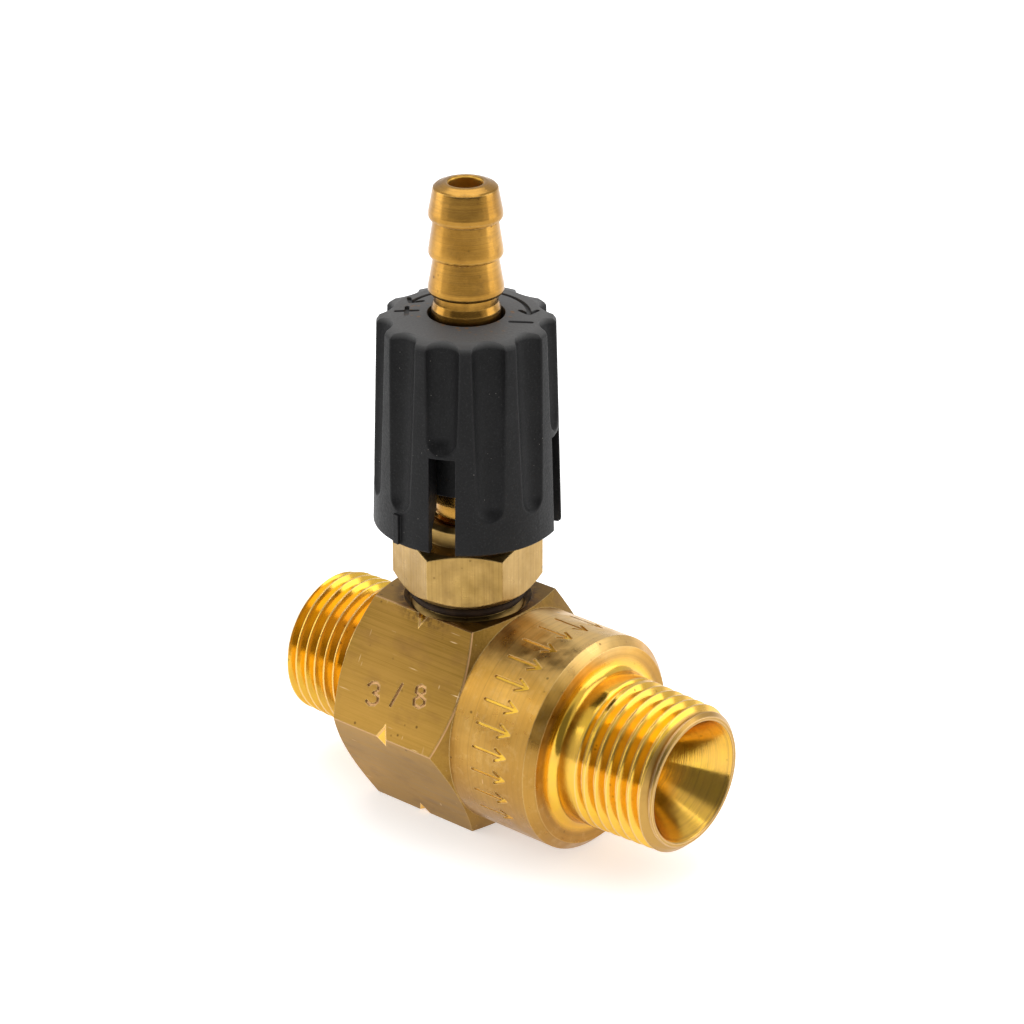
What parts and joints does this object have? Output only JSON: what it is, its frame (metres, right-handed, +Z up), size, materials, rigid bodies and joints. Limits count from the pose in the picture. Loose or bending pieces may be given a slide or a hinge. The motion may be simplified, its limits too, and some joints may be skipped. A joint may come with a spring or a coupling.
{
  "type": "venturi injector with metering needle valve",
  "caption": "Brass venturi injector body with threaded ends, a hex-mounted metering needle valve, a fluted black knob and a barbed hose tail on top.",
  "frame": {"origin": "on the bottom hex flat, directly under the valve branch axis", "axes": "+X along the main bore towards the outlet, +Z up the valve branch, -Y towards the face with the size mark"},
  "size_m": [0.0513, 0.0278, 0.0708],
  "materials": {
    "body_brass": "turned and milled, bare",
    "housing_brass": "turned and milled, bare",
    "stem_brass": "turned, bare",
    "nozzle_steel": "turned stainless steel",
    "retainer_brass": "turned, bare",
    "knob_plastic": "fine-grained black moulding",
    "seal_rubber": "moulded black rubber",
    "ball_steel": "polished stainless steel",
    "spring_steel": "drawn stainless wire"
  },
  "bodies": {
    "fitting": {"body": "body_brass", "nozzle_insert": "nozzle_steel", "nozzle_o_ring": "seal_rubber", "nozzle_retainer": "retainer_brass", "valve_housing": "housing_brass", "housing_o_ring": "seal_rubber", "spring_keeper": "retainer_brass", "check_spring": "spring_steel"},
    "ball": {"check_ball": "ball_steel"},
    "stem_seal": {"stem_o_ring": "seal_rubber"},
    "control": {"metering_stem": "stem_brass", "knob": "knob_plastic"}
  },
  "joints": [
    {"name": "stem_feed", "type": "slide", "parent": "fitting", "child": "stem_seal", "axis": [0, 0, 1], "range_m": [-0.0015, 0.00019]},
    {"name": "knob_turn", "type": "hinge", "parent": "stem_seal", "child": "control", "pos_m": [0, 0, 0.04], "axis": [0, 0, 1], "range_deg": [-720, 90]},
    {"name": "ball_lift", "type": "slide", "parent": "fitting", "child": "ball", "axis": [0, 0, -1], "range_m": [0, 0.0008], "stiffness_N_per_m": 60, "springref_m": -0.0005, "deforming": ["check_spring"]}
  ],
  "couplings": [
    {"joint": "knob_turn", "follows": "stem_feed", "rad_per_m": 8377.6}
  ]
}
